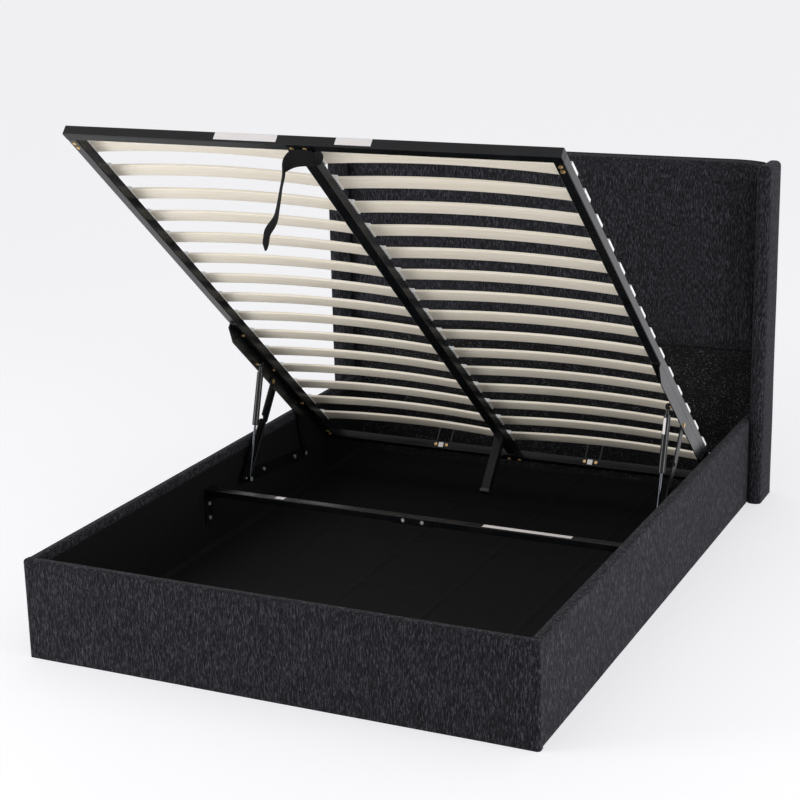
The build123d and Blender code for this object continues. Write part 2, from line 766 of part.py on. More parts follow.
def make_strap():
    """Webbing strap tied round the foot end of the centre beam, with its tail hanging."""
    fit = soft_clearance
    half = beam_half + fit
    band = strap_thickness
    band_range = (strap_distance - strap_width / 2, strap_distance + strap_width / 2)
    low = -fit
    high = tube_size + fit
    loop = block((-half - band, half + band), band_range, (low - band, high + band))
    loop -= block((-half, half), (band_range[0] - overrun, band_range[1] + overrun), (low, high))
    knot = block((-knot_width / 2, knot_width / 2), (-knot_depth / 2, knot_depth / 2), (-knot_height, 0))
    knot = fillet(knot.edges().filter_by(Axis.Y), knot_round)
    knot_top = low - band / 2
    knot = Pos(-knot_offset, strap_distance, knot_top) * knot
    tied = platform_frame * (loop + knot)
    hang = on_open_platform(strap_distance, knot_top - knot_height / 2)
    tail_top = -knot_offset
    points = [(tail_top - lean * strap_lean + width * strap_width, -drop * strap_drop)
              for lean, width, drop in strap_tail_shares]
    tail = extrude(Plane.XZ * make_face(Polyline(*points, close=True)), strap_thickness / 2, both=True)
    return tied + Pos(0, hang[0], hang[1]) * tail


def make_box():
    """Write the pieces of the box."""
    save("footboard", make_footboard())
    save_pair("side_rail", make_side_board())
    save("lining_foot", make_foot_lining())
    save_pair("lining", make_side_lining())
    save("base_cloth", make_base_cloth())
    save_pair("crossbar", make_crossbar_half())
    save("crossbar_sleeve", make_crossbar_sleeve())
    save_pair("crossbar_bracket", make_crossbar_bracket())
    save_pair("hinge_plate", make_hinge_plate())
    save("box_bolts", make_box_bolts())


def make_headboard():
    """Write the pieces of the headboard."""
    save("headboard_core", make_headboard_core())
    save("headboard_cushion", make_cushion())
    save("headboard_lower_panel", make_lower_panel())
    save_pair("wing", make_wing())


def make_platform():
    """Write the pieces that lift with the platform."""
    save("foot_rail", make_end_rail(0))
    save("head_rail", make_end_rail(platform_length - tube_size))
    save_pair("side_tube", make_side_tube())
    save("centre_beam", make_beam())
    save_pair("lift_bar", make_lift_bar())
    save("centre_leg", make_leg())
    save("leg_foot", make_leg_foot())
    save_pair("retainer", make_retainer())
    save("platform_screws", make_platform_screws())
    save("pull_strap", make_strap())
    save_pair("slat_holders", make_outer_holders())
    save("slat_holders_centre", make_centre_holders())
    for index in range(slat_count):
        slat = make_slat(index)
        save(f"slat_row_{index + 1:02d}", group([slat, mirrored(slat)]))


def make_linkage():
    """Write the links and gas struts of both sides."""
    save_pair("front_link", make_front_link())
    save_pair("rear_link", make_rear_link())
    save_pair("strut_rod", make_strut_rod())
    save_pair("strut_tube", make_strut_tube())


os.makedirs("parts", exist_ok=True)
make_box()
make_headboard()
make_platform()
make_linkage()

print("front pivot", front_pivot, "link pin", link_pin_open, "rear pivot", rear_pivot)
print("front link turn", front_link_closed_angle - front_link_angle)
print("platform turn on the link", lift_angle - front_link_closed_angle + front_link_angle)
print("rear link turn", rear_link_closed_angle - rear_link_angle)
print("strut turn", strut_closed_angle - strut_angle, "strut stroke", strut_closed_length - strut_length)
print("strut direction", turned(1, 0, strut_angle), "open foot end", open_foot)
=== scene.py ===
import json
import logging
import math
from collections.abc import Callable, Iterator, Sequence
from contextlib import contextmanager
from dataclasses import dataclass
from enum import Enum
from functools import partial

import bmesh
import bpy
from mathutils import Matrix, Vector


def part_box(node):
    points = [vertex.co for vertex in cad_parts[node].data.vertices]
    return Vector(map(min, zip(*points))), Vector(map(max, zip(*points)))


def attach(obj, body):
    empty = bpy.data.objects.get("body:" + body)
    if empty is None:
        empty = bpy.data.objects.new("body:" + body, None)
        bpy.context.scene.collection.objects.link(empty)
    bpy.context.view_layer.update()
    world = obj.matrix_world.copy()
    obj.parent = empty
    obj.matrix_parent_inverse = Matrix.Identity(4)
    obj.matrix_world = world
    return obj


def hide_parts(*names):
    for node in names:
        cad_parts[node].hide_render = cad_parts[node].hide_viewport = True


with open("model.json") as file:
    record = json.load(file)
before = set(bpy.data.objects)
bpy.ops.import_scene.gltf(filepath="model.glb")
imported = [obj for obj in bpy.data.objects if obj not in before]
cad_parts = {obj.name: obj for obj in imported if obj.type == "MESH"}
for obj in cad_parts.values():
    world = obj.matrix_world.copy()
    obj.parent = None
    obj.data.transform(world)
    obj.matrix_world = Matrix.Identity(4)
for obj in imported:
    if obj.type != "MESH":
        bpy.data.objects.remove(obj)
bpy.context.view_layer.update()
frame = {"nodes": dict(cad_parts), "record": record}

LOG = logging.getLogger("storage_bed")

# Lengths are in metres, written as so many millimetres
MM = 0.001
FLOOR_SLACK = 1.0 * MM
SMOOTH_ANGLE = math.radians(38)
X, Y, Z = 0, 1, 2
MIRROR = Matrix.Scale(-1, 4, Vector((1, 0, 0)))

Piece = bpy.types.Object
Material = bpy.types.Material
Tree = bpy.types.NodeTree
Node = bpy.types.Node
AddNode = Callable[..., Node]
EdgeTest = Callable[[Vector, Vector], bool]
PointTest = Callable[[Vector], bool]
Station = tuple[Vector, Vector]


class Side(Enum):
    """Side of the bed as seen from its foot."""

    LEFT = "left"
    RIGHT = "right"


class Body(Enum):
    """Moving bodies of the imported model."""

    BASE = "base"
    PLATFORM = "platform"
    FRONT_LINKS = "front_links"
    STRUT_TUBES = "strut_tubes"


def linear_colour(hex_colour: str) -> tuple[float, float, float, float]:
    """Turn an sRGB colour into linear light.

    Args:
        hex_colour: Colour as "#rrggbb".

    Returns:
        Linear red, green, blue and an alpha of one.
    """
    parts = [int(hex_colour[index:index + 2], 16) / 255 for index in (1, 3, 5)]
    light = [part / 12.92 if part <= 0.04045 else ((part + 0.055) / 1.055) ** 2.4 for part in parts]
    return (light[0], light[1], light[2], 1.0)


def node_corners(node: str) -> tuple[Vector, Vector]:
    """Lowest and highest corner of a CAD node at rest."""
    low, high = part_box(node)
    return Vector(low), Vector(high)


def deselect_all() -> None:
    """Leave edit mode and clear the selection."""
    active = bpy.context.view_layer.objects.active
    if active is not None and active.mode != "OBJECT":
        bpy.ops.object.mode_set(mode="OBJECT")
    bpy.ops.object.select_all(action="DESELECT")


def take(piece: Piece) -> None:
    """Make a piece the only one that operators act on."""
    deselect_all()
    piece.select_set(True)
    bpy.context.view_layer.objects.active = piece


@contextmanager
def editing(piece: Piece) -> Iterator[None]:
    """Open a piece in edit mode for edges, with nothing selected, and close it again.

    Args:
        piece: Mesh to edit.
    """
    take(piece)
    bpy.ops.object.mode_set(mode="EDIT")
    bpy.ops.mesh.select_mode(type="EDGE")
    bpy.ops.mesh.select_all(action="DESELECT")
    yield
    bpy.ops.object.mode_set(mode="OBJECT")


def name_piece(piece: Piece, name: str) -> Piece:
    """Name an object and its data alike."""
    piece.name = name
    piece.data.name = name
    return piece


def settle(piece: Piece) -> Piece:
    """Put a piece's place, turn and size into its mesh."""
    take(piece)
    bpy.ops.object.transform_apply(location=True, rotation=True, scale=True)
    return piece


def new_block(name: str, low: Sequence[float], high: Sequence[float]) -> Piece:
    """Start a piece from a block between two corners.

    Args:
        name: Name of the piece.
        low: Lowest corner.
        high: Highest corner.

    Returns:
        The block, with its place in its mesh.
    """
    deselect_all()
    low_corner, high_corner = Vector(low), Vector(high)
    middle = (low_corner + high_corner) / 2
    bpy.ops.mesh.primitive_cube_add(size=1, location=middle, scale=high_corner - low_corner)
    return settle(name_piece(bpy.context.object, name))


def round_edges(piece: Piece, test: EdgeTest, radius: float, segments: int = 5) -> None:
    """Round the edges whose two ends pass a test.

    Args:
        piece: Mesh to edit.
        test: Test of the two ends of an edge.
        radius: Radius of the round.
        segments: Number of faces across the round.
    """
    with editing(piece):
        mesh = bmesh.from_edit_mesh(piece.data)
        for edge in mesh.edges:
            edge.select_set(test(edge.verts[0].co, edge.verts[1].co))
        bmesh.update_edit_mesh(piece.data)
        bpy.ops.mesh.bevel(offset=radius, segments=segments, profile=0.5, affect="EDGES")


def cut_at(piece: Piece, axis: int, places: Sequence[float]) -> None:
    """Cut a piece at places along one axis, so that its faces can bend there.

    Args:
        piece: Mesh to edit.
        axis: Number of the axis.
        places: Where each cut meets the axis.
    """
    normal = Vector([float(index == axis) for index in (X, Y, Z)])
    with editing(piece):
        for place in places:
            bpy.ops.mesh.select_all(action="SELECT")
            bpy.ops.mesh.bisect(plane_co=normal * place, plane_no=normal)


def cut_across(piece: Piece, axis: int, spacing: float) -> None:
    """Cut a piece at even steps along one axis.

    Args:
        piece: Mesh to edit.
        axis: Number of the axis.
        spacing: Distance between cuts, which is rounded to fit.
    """
    values = [vertex.co[axis] for vertex in piece.data.vertices]
    low, high = min(values), max(values)
    count = max(1, round((high - low) / spacing))
    cut_at(piece, axis, [low + (high - low) * index / count for index in range(1, count)])


def apply_modifiers(piece: Piece) -> None:
    """Apply every modifier of a piece, in order."""
    take(piece)
    for modifier in list(piece.modifiers):
        bpy.ops.object.modifier_apply(modifier=modifier.name)


def smooth(piece: Piece, angle: float = SMOOTH_ANGLE) -> None:
    """Shade a piece smooth, apart from its sharp edges."""
    take(piece)
    bpy.ops.object.shade_smooth_by_angle(angle=angle)


def new_object(name: str, data: bpy.types.ID) -> Piece:
    """Add an object with its data to the scene."""
    added = bpy.data.objects.new(name, data)
    bpy.context.scene.collection.objects.link(added)
    return added


def new_surface(name: str, points: Sequence[Vector], faces: Sequence[Sequence[int]]) -> Piece:
    """Start a piece from the points and faces of an open surface."""
    mesh = bpy.data.meshes.new(name)
    mesh.from_pydata(points, [], faces)
    return new_object(name, mesh)


def thicken(piece: Piece, thickness: float) -> None:
    """Add the modifier that thickens a surface, half to each side."""
    wall = piece.modifiers.new("thickness", "SOLIDIFY")
    wall.thickness = thickness
    wall.offset = 0


def refine(piece: Piece, levels: int, kind: str = "CATMULL_CLARK") -> None:
    """Add the modifier that makes the faces of a piece finer, rounded or as SIMPLE cuts."""
    finer = piece.modifiers.new("finer", "SUBSURF")
    finer.subdivision_type = kind
    finer.levels = finer.render_levels = levels


def ripple(piece: Piece, height: float, size: float, depth: int = 1, middle: float = 0.6) -> None:
    """Add the modifier that makes a face slightly uneven.

    Args:
        piece: Mesh with enough cuts to bend.
        height: Whole height of the unevenness.
        size: Distance over which it rises and falls.
        depth: How much finer unevenness is laid over it.
        middle: Share of the height at which the face stays in its place.
    """
    clouds = bpy.data.textures.new(f"{piece.name}_ripple", "CLOUDS")
    clouds.noise_scale = size
    clouds.noise_depth = depth
    push = piece.modifiers.new("ripple", "DISPLACE")
    push.texture = clouds
    push.texture_coords = "LOCAL"
    push.strength = height
    push.mid_level = middle


def bend_above(piece: Piece, lowest: float = 0.0) -> None:
    """Apply the modifiers of a piece and keep its points above a height."""
    apply_modifiers(piece)
    for vertex in piece.data.vertices:
        vertex.co.z = max(vertex.co.z, lowest)


def joined(name: str, pieces: Sequence[Piece]) -> Piece:
    """Join pieces into one object.

    Args:
        name: Name of the object.
        pieces: Pieces that it takes up.

    Returns:
        The object.
    """
    deselect_all()
    for piece in pieces:
        piece.select_set(True)
    bpy.context.view_layer.objects.active = pieces[0]
    bpy.ops.object.join()
    return name_piece(bpy.context.object, name)


def copied(piece: Piece, name: str, matrix: Matrix) -> Piece:
    """Copy a piece with its own mesh and move the copy.

    Args:
        piece: Piece to copy.
        name: Name of the copy.
        matrix: Move, turn or mirror put into the copy's mesh.

    Returns:
        The copy.
    """
    copy = piece.copy()
    copy.data = piece.data.copy()
    bpy.context.scene.collection.objects.link(copy)
    copy.data.transform(matrix)
    if matrix.determinant() < 0:
        copy.data.flip_normals()
    return name_piece(copy, name)


def dress(piece: Piece, material: Material, body: Body) -> None:
    """Give a new piece its material and the body that it rides on.

    Args:
        piece: Finished mesh.
        material: Material of all its faces.
        body: Body that it moves with.
    """
    piece.data.materials.clear()
    piece.data.materials.append(material)
    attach(piece, body.value)
    LOG.info("%s: %d faces on %s", piece.name, len(piece.data.polygons), body.value)


def dress_pair(right: Piece, material: Material, body: Body) -> None:
    """Dress a piece of the right side and its mirror image on the left."""
    for piece in (right, copied(right, right.name.replace("right", "left"), MIRROR)):
        smooth(piece)
        dress(piece, material, body)


def dress_padded(piece: Piece, material: Material, node: str) -> None:
    """Dress a padded piece of the base, which stands for a CAD node that it hides.

    Args:
        piece: Finished mesh.
        material: Material of all its faces.
        node: CAD node that it replaces.
    """
    smooth(piece)
    dress(piece, material, Body.BASE)
    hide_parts(node)


def add_node(tree: Tree, kind: str, values: dict | None = None) -> Node:
    """Add a node with its settings and links.

    Args:
        tree: Node tree of a material or world.
        kind: Identifier of the node's type, after "ShaderNode".
        values: Settings and links, by a property's name or an input's name or number. A colour is
            "#rrggbb". A link is an output, or a node that stands for its first output in use.

    Returns:
        The node.
    """
    node = tree.nodes.new(f"ShaderNode{kind}")
    for key, value in (values or {}).items():
        if isinstance(value, str) and value.startswith("#"):
            value = linear_colour(value)
        if isinstance(value, Node):
            value = next(output for output in value.outputs if output.enabled)
        if isinstance(value, bpy.types.NodeSocket):
            tree.links.new(value, node.inputs[key])
        elif isinstance(key, int) or key in node.inputs:
            node.inputs[key].default_value = value
        else:
            setattr(node, key, value)
    return node


def start_material(name: str) -> tuple[Material, AddNode, bpy.types.NodeSocket]:
    """Start a material.

    Args:
        name: Name of the material.

    Returns:
        The material, add_node for its tree, and the socket of object coordinates.
    """
    material = bpy.data.materials.new(name)
    material.use_nodes = True
    material.node_tree.nodes.clear()
    add = partial(add_node, material.node_tree)
    return material, add, add("TexCoord").outputs["Object"]


def shaded(material: Material, values: dict) -> Material:
    """Finish a material with its shader, by the settings and links of the shader's inputs."""
    shader = add_node(material.node_tree, "BsdfPrincipled", values)
    add_node(material.node_tree, "OutputMaterial", {"Surface": shader})
    return material


def two_tone(add: AddNode, pattern: Node, start: float, end: float, first: str, second: str) -> Node:
    """Mix two colours over the part of a pattern's values from start to end."""
    share = add("MapRange", {"From Min": start, "From Max": end, "Value": pattern})
    return add("Mix", {"data_type": "RGBA", 0: share, 6: first, 7: second})


@dataclass(frozen=True)
class ChenilleCloth:
    """Charcoal chenille: soft yarns side by side, with pale slubs that run up the cloth."""

    name: str = "charcoal_chenille"
    ground: str = "#101013"
    yarn: str = "#1f1f23"
    slub: str = "#56555c"
    sheen: str = "#d8d8e0"
    # Spacing along x and y, and length along z, of the yarns, of the slubs, and of the slubs on
    # faces that look up
    yarn_grid: tuple[float, float, float] = (2.2 * MM, 4.2 * MM, 30 * MM)
    slub_grid: tuple[float, float, float] = (2.4 * MM, 4.8 * MM, 15 * MM)
    ledge_grid: tuple[float, float, float] = (5 * MM, 9 * MM, 15 * MM)
    ledge_slope: float = 0.75
    nap_size: float = 1.6 * MM
    pile_height: float = 0.5 * MM

    def material(self) -> Material:
        """Build the cloth, whose pile scatters light and brightens at a grazing view.

        Returns:
            The material.
        """
        material, add, place = start_material(self.name)
        # The yarns are drawn coarser than their 1 mm, so that they show from a few metres, and
        # coarser still on the faces that look sideways. They run up the upright faces
        yarn_place, slub_place, ledge_place = (
            add("Mapping", {"Scale": [1 / size for size in grid], "Vector": place})
            for grid in (self.yarn_grid, self.slub_grid, self.ledge_grid))
        facing = add("NewGeometry").outputs["Normal"]
        upward = add("SeparateXYZ", {0: facing}).outputs["Z"]
        ledge = add("Math", {"operation": "GREATER_THAN", 0: upward, 1: self.ledge_slope})
        run = add("Mix", {"data_type": "VECTOR", 0: ledge, 4: slub_place, 5: ledge_place})
        yarns = add("TexNoise", {"Scale": 1.0, "Roughness": 0.6, "Vector": yarn_place})
        slubs = add("TexNoise", {"Scale": 1.0, "Detail": 3.0, "Roughness": 0.7, "Vector": run})
        nap = add("TexNoise", {"Scale": 1 / self.nap_size, "Vector": place})
        slub_share = add("MapRange", {"From Min": 0.5, "From Max": 0.68, "Value": slubs})
        nap_share = add("MapRange", {"From Min": 0.3, "From Max": 0.7, "To Min": 0.45, "Value": nap})
        marks = add("Math", {"operation": "MULTIPLY", 0: slub_share, 1: nap_share})
        body = two_tone(add, yarns, 0.38, 0.62, self.ground, self.yarn)
        cloth = add("Mix", {"data_type": "RGBA", 0: marks, 6: body, 7: self.slub})
        relief = add("Math", {"operation": "ADD", 0: yarns, 1: marks})
        bump = add("Bump", {"Strength": 0.7, "Distance": self.pile_height, "Height": relief})
        return shaded(material, {
            "Base Color": cloth, "Normal": bump, "Roughness": 0.92, "Specular IOR Level": 0.1,
            "Sheen Weight": 0.1, "Sheen Roughness": 0.4, "Sheen Tint": self.sheen})


@dataclass(frozen=True)
class SpeckledCloth:
    """Plain black boucle with grey specks, behind the platform where it is out of sight in use."""

    name: str = "black_boucle"
    ground: str = "#0b0b0c"
    speck: str = "#7c7c82"
    speck_size: float = 4.6 * MM
    patch_share: float = 0.12
    loop_height: float = 0.6 * MM

    def material(self) -> Material:
        """Build the cloth, whose short loops catch light as scattered grey points.

        Returns:
            The material.
        """
        material, add, place = start_material(self.name)
        specks = add("TexNoise", {
            "Scale": 1 / self.speck_size, "Detail": 4.0, "Roughness": 0.75, "Vector": place})
        patches = add("TexNoise", {"Scale": self.patch_share / self.speck_size, "Vector": place})
        share = add("MapRange", {"From Min": 0.55, "From Max": 0.72, "Value": specks})
        patch = add("MapRange", {"From Min": 0.35, "From Max": 0.7, "To Min": 0.35, "Value": patches})
        marks = add("Math", {"operation": "MULTIPLY", 0: share, 1: patch})
        cloth = add("Mix", {"data_type": "RGBA", 0: marks, 6: self.ground, 7: self.speck})
        bump = add("Bump", {"Strength": 0.8, "Distance": self.loop_height, "Height": specks})
        return shaded(material, {
            "Base Color": cloth, "Normal": bump, "Roughness": 0.9, "Specular IOR Level": 0.2})


@dataclass(frozen=True)
class NonWovenCloth:
    """Black spun-bonded polypropylene: thin felt with small pressed dots and a faint gloss."""

    name: str = "black_non_woven"
    ground: str = "#08080a"
    fibre: str = "#121314"
    fibre_size: float = 9.0 * MM
    dot_spacing: float = 3.0 * MM
    dot_depth: float = 0.15 * MM

    def material(self) -> Material:
        """Build the cloth, whose fibres lie in cloudy patches.

        Returns:
            The material.
        """
        material, add, place = start_material(self.name)
        fibres = add("TexNoise", {
            "Scale": 1 / self.fibre_size, "Detail": 6.0, "Roughness": 0.7, "Vector": place})
        dots = add("TexVoronoi", {"Scale": 1 / self.dot_spacing, "Randomness": 0.1, "Vector": place})
        cloth = two_tone(add, fibres, 0.3, 0.75, self.ground, self.fibre)
        bump = add("Bump", {"Strength": 0.4, "Distance": self.dot_depth, "Height": dots})
        return shaded(material, {
            "Base Color": cloth, "Normal": bump, "Roughness": 0.7, "Specular IOR Level": 0.12})


@dataclass(frozen=True)
class PowderCoat:
    """Black polyester powder coat on steel: a fine orange peel under a satin gloss."""

    name: str = "black_powder_coat"
    paint: str = "#0a0b0c"
    worn_paint: str = "#121315"
    grain_size: float = 1.4 * MM
    grain_height: float = 0.06 * MM
    patch_size: float = 120 * MM
    gloss_roughness: float = 0.22
    worn_roughness: float = 0.34
    gloss: float = 0.25

    def material(self) -> Material:
        """Build the coat, a little paler and duller in large soft patches.

        Returns:
            The material.
        """
        material, add, place = start_material(self.name)
        patches = add("TexNoise", {"Scale": 1 / self.patch_size, "Detail": 5.0, "Vector": place})
        grain = add("TexNoise", {"Scale": 1 / self.grain_size, "Vector": place})
        coat = two_tone(add, patches, 0.35, 0.75, self.paint, self.worn_paint)
        dull = add("MapRange", {
            "From Min": 0.3, "From Max": 0.8, "To Min": self.gloss_roughness,
            "To Max": self.worn_roughness, "Value": patches})
        bump = add("Bump", {"Strength": 0.35, "Distance": self.grain_height, "Height": grain})
        return shaded(material, {
            "Base Color": coat, "Normal": bump, "Roughness": dull, "Specular IOR Level": self.gloss})


@dataclass(frozen=True)
class BirchPly:
    """Bent birch plywood under a clear satin lacquer: pale wood with a straight fine figure."""

    name: str = "birch_ply"
    wood: str = "#f0e8d8"
    figure: str = "#e7dcc6"
    ray: str = "#f7f2e8"
    # Length along the slats, and width across them, of the figure and of the pores
    grain: tuple[float, float] = (420 * MM, 5.0 * MM)
    pore: tuple[float, float] = (22 * MM, 1.1 * MM)
    pore_depth: float = 0.1 * MM

    def material(self) -> Material:
        """Build the wood, with its grain along the slats.

        Returns:
            The material.
        """
        material, add, place = start_material(self.name)
        grain_place, pore_place = (
            add("Mapping", {"Scale": (1 / length, 1 / width, 1 / width), "Vector": place})
            for length, width in (self.grain, self.pore))
        grain = add("TexNoise", {
            "Scale": 1.0, "Detail": 5.0, "Roughness": 0.6, "Distortion": 0.6, "Vector": grain_place})
        pores = add("TexNoise", {"Scale": 1.0, "Vector": pore_place})
        rays = add("MapRange", {"From Min": 0.6, "From Max": 0.75, "To Max": 0.6, "Value": pores})
        wood = two_tone(add, grain, 0.42, 0.68, self.wood, self.figure)
        lacquered = add("Mix", {"data_type": "RGBA", 0: rays, 6: wood, 7: self.ray})
        bump = add("Bump", {"Strength": 0.25, "Distance": self.pore_depth, "Height": pores})
        return shaded(material, {"Base Color": lacquered, "Normal": bump, "Roughness": 0.46})


@dataclass(frozen=True)
class MouldedPlastic:
    """Moulded polypropylene with the faint unevenness of a matt mould."""

    name: str
    colour: str
    tint: str
    roughness: float = 0.5
    cloud_size: float = 14 * MM
    grain_size: float = 0.9 * MM
    grain_height: float = 0.05 * MM

    def material(self) -> Material:
        """Build the plastic.

        Returns:
            The material.
        """
        material, add, place = start_material(self.name)
        clouds = add("TexNoise", {"Scale": 1 / self.cloud_size, "Detail": 3.0, "Vector": place})
        grain = add("TexNoise", {"Scale": 1 / self.grain_size, "Detail": 1.0, "Vector": place})
        colour = two_tone(add, clouds, 0.35, 0.7, self.colour, self.tint)
        bump = add("Bump", {"Strength": 0.3, "Distance": self.grain_height, "Height": grain})
        return shaded(material, {"Base Color": colour, "Normal": bump, "Roughness": self.roughness})


@dataclass(frozen=True)
class PlatedMetal:
    """Plated steel: a bare metal whose plating is slightly uneven in tone and gloss."""

    name: str
    colour: str
    tint: str
    roughness: float
    cloud_size: float = 9 * MM
    dulling: float = 1.4

    def material(self) -> Material:
        """Build the metal.

        Returns:
            The material.
        """
        material, add, place = start_material(self.name)
        clouds = add("TexNoise", {"Scale": 1 / self.cloud_size, "Detail": 4.0, "Vector": place})
        colour = two_tone(add, clouds, 0.35, 0.7, self.colour, self.tint)
        gloss = add("MapRange", {
            "From Min": 0.3, "From Max": 0.7, "To Min": self.roughness,
            "To Max": self.roughness * self.dulling, "Value": clouds})
        return shaded(material, {"Base Color": colour, "Roughness": gloss, "Metallic": 1.0})


@dataclass(frozen=True)
class PolyesterWebbing:
    """Black polyester webbing: fine ribs across a flat band."""

    name: str = "black_webbing"
    ground: str = "#050506"
    rib: str = "#141416"
    rib_spacing: float = 2.4 * MM
    rib_height: float = 0.3 * MM

    def material(self) -> Material:
        """Build the webbing, whose ribs give a dull sheen.

        Returns:
            The material.
        """
        material, add, place = start_material(self.name)
        ribs = add("TexWave", {
            "wave_type": "BANDS", "bands_direction": "DIAGONAL", "Scale": 0.5 / self.rib_spacing,
            "Distortion": 1.5, "Vector": place}).outputs["Fac"]
        cloth = add("Mix", {"data_type": "RGBA", 0: ribs, 6: self.ground, 7: self.rib})
        bump = add("Bump", {"Strength": 0.5, "Distance": self.rib_height, "Height": ribs})
        return shaded(material, {
            "Base Color": cloth, "Normal": bump, "Roughness": 0.8, "Specular IOR Level": 0.15})


@dataclass(frozen=True)
class LabelPaper:
    """Blank white label paper under a thin film."""

    name: str = "blank_label_paper"
    paper: str = "#f3efed"
    shade: str = "#e9e3e1"
    cloud_size: float = 40 * MM

    def material(self) -> Material:
        """Build the paper, with a slight cloudiness and nothing printed on it.

        Returns:
            The material.
        """
        material, add, place = start_material(self.name)
        clouds = add("TexNoise", {"Scale": 1 / self.cloud_size, "Detail": 3.0, "Vector": place})
        paper = add("Mix", {"data_type": "RGBA", 0: clouds, 6: self.paper, 7: self.shade})
        return shaded(material, {"Base Color": paper, "Roughness": 0.55})


class Finishes:
    """The bed's materials, built once, and the CAD nodes that take them by their slot."""

    def __init__(self) -> None:
        """Build every finish. The side tubes and lift bars get a glossier copy of the coat: a painted
        highlight for the key light on them.
        """
        self.label_paper = LabelPaper().material()
        # Painted highlight: a glossier copy of the powder coat, for the side tubes and lift bars only
        self.highlight_coat = PowderCoat("highlight_powder_coat", gloss=0.55).material()
        self.by_slot = {
            "upholstery": ChenilleCloth().material(),
            "panel_fabric": SpeckledCloth().material(),
            "lining": NonWovenCloth().material(),
            "frame_steel": PowderCoat().material(),
            "bright_steel": PlatedMetal("bright_zinc_plate", "#dcddde", "#c6c8ca", 0.42).material(),
            "screws": PlatedMetal("yellow_zinc_plate", "#e0c08c", "#c7a674", 0.42).material(),
            # Painted shade: the chrome has a near-black colour, so that the rod reflects darkly rather
            # than showing the white studio round it
            "chrome": PlatedMetal("hard_chrome_painted_dark", "#3c3e42", "#333539", 0.14).material(),
            "slat_wood": BirchPly().material(),
            "holder_plastic": MouldedPlastic("white_polypropylene", "#e9eae8", "#dcdedd").material(),
            "foot_plastic": MouldedPlastic("black_polypropylene", "#151516", "#1f1f20", 0.42).material(),
            "webbing": PolyesterWebbing().material(),
        }

    def dress_nodes(self) -> None:
        """Give every CAD node the material of its slot, by the slot names of the record."""
        for part in frame["record"]["subparts"]:
            node = frame["nodes"][part["node"]]
            # Painted highlight: the side tubes and lift bars take the glossier copy of the coat
            in_highlight = part["node"].startswith(("side_tube", "lift_bar"))
            material = self.highlight_coat if in_highlight else self.by_slot[part["material_slot"]]
            if not node.material_slots:
                node.data.materials.append(material)
            for slot in node.material_slots:
                slot.material = material
        LOG.info("dressed %d CAD nodes", len(frame["nodes"]))


@dataclass(frozen=True)
class Studio:
    """Pale floor, soft light from the right and the camera of the photograph."""

    camera_place: tuple[float, float, float] = (2.1041, -4.65505, 1.9903)
    camera_azimuth: float = 0.4414
    camera_elevation: float = 0.2825
    camera_roll: float = -0.0234
    lens: float = 83.13
    sensor: float = 36.0
    floor_size: float = 90.0
    floor_colour: str = "#f2f2f4"
    seen_white: str = "#fafafc"
    seen_share: float = 0.35
    seen_strength: float = 1.58
    ambient_strength: float = 0.62
    # Power, size, place and aim of each soft panel
    panels: tuple[tuple[str, float, float, Sequence[float], Sequence[float]], ...] = (
        ("key", 100.0, 1.6, (4.6, -0.9, 0.8), (0.7, 0.1, 0.45)),
        ("fill", 125.0, 2.0, (-3.4, -3.2, 0.85), (0.0, -0.1, 0.8)),
    )

    def build(self) -> None:
        """Set up everything round the bed."""
        self.add_camera()
        self.add_lights()
        self.add_floor()
        self.set_world()
        bpy.context.scene.view_settings.view_transform = "Standard"
        LOG.info("studio ready")

    def add_camera(self) -> None:
        """Add the camera at the photograph's place and turn."""
        turn = (Matrix.Rotation(self.camera_azimuth, 4, "Z")
                @ Matrix.Rotation(math.pi / 2 - self.camera_elevation, 4, "X")
                @ Matrix.Rotation(self.camera_roll, 4, "Z"))
        data = bpy.data.cameras.new("camera")
        data.lens = self.lens
        data.sensor_width = self.sensor
        data.clip_end = self.floor_size
        camera = new_object("camera", data)
        camera.matrix_world = Matrix.Translation(self.camera_place) @ turn
        bpy.context.scene.camera = camera

    def add_lights(self) -> None:
        """Add a wide key panel at the right and a wide fill panel at the left front."""
        for name, power, size, place, aim in self.panels:
            data = bpy.data.lights.new(name, "AREA")
            data.energy = power
            data.size = size
            light = new_object(name, data)
            light.location = place
            light.rotation_mode = "QUATERNION"
            light.rotation_quaternion = (Vector(aim) - Vector(place)).to_track_quat("-Z", "Y")

    def add_floor(self) -> None:
        """Add a plain floor that the camera sees pale, and that keeps the bed's shadow."""
        deselect_all()
        bpy.ops.mesh.primitive_plane_add(size=self.floor_size)
        floor = name_piece(bpy.context.object, "studio_floor")
        material, add, _ = start_material("studio_floor_paper")
        paper = add("BsdfPrincipled", {
            "Base Color": self.floor_colour, "Roughness": 1.0, "Specular IOR Level": 0.0})
        rays = add("LightPath").outputs
        direct = add("Math", {"operation": "MAXIMUM", 0: rays["Is Camera Ray"], 1: rays["Is Glossy Ray"]})
        seen = add("Math", {"operation": "MULTIPLY", 0: direct, 1: self.seen_share})
        white = add("Emission", {"Color": self.seen_white, "Strength": self.seen_strength})
        mixed = add("MixShader", {0: seen, 1: paper, 2: white})
        add("OutputMaterial", {"Surface": mixed})
        floor.data.materials.append(material)

    def set_world(self) -> None:
        """Light the bed evenly all round, and show white where the view or a gloss meets the sky."""
        world = bpy.data.worlds.new("studio_world")
        bpy.context.scene.world = world
        world.use_nodes = True
        world.node_tree.nodes.clear()
        add = partial(add_node, world.node_tree)
        rays = add("LightPath").outputs
        mirrored = add("Math", {
            "operation": "MAXIMUM", 0: rays["Is Glossy Ray"], 1: rays["Is Transmission Ray"]})
        seen = add("Math", {"operation": "MAXIMUM", 0: mirrored, 1: rays["Is Camera Ray"]})
        ambient, white = (add("Background", {"Color": self.seen_white, "Strength": strength})
                          for strength in (self.ambient_strength, 1.0))
        mixed = add("MixShader", {0: seen, 1: ambient, 2: white})
        add("OutputWorld", {"Surface": mixed})


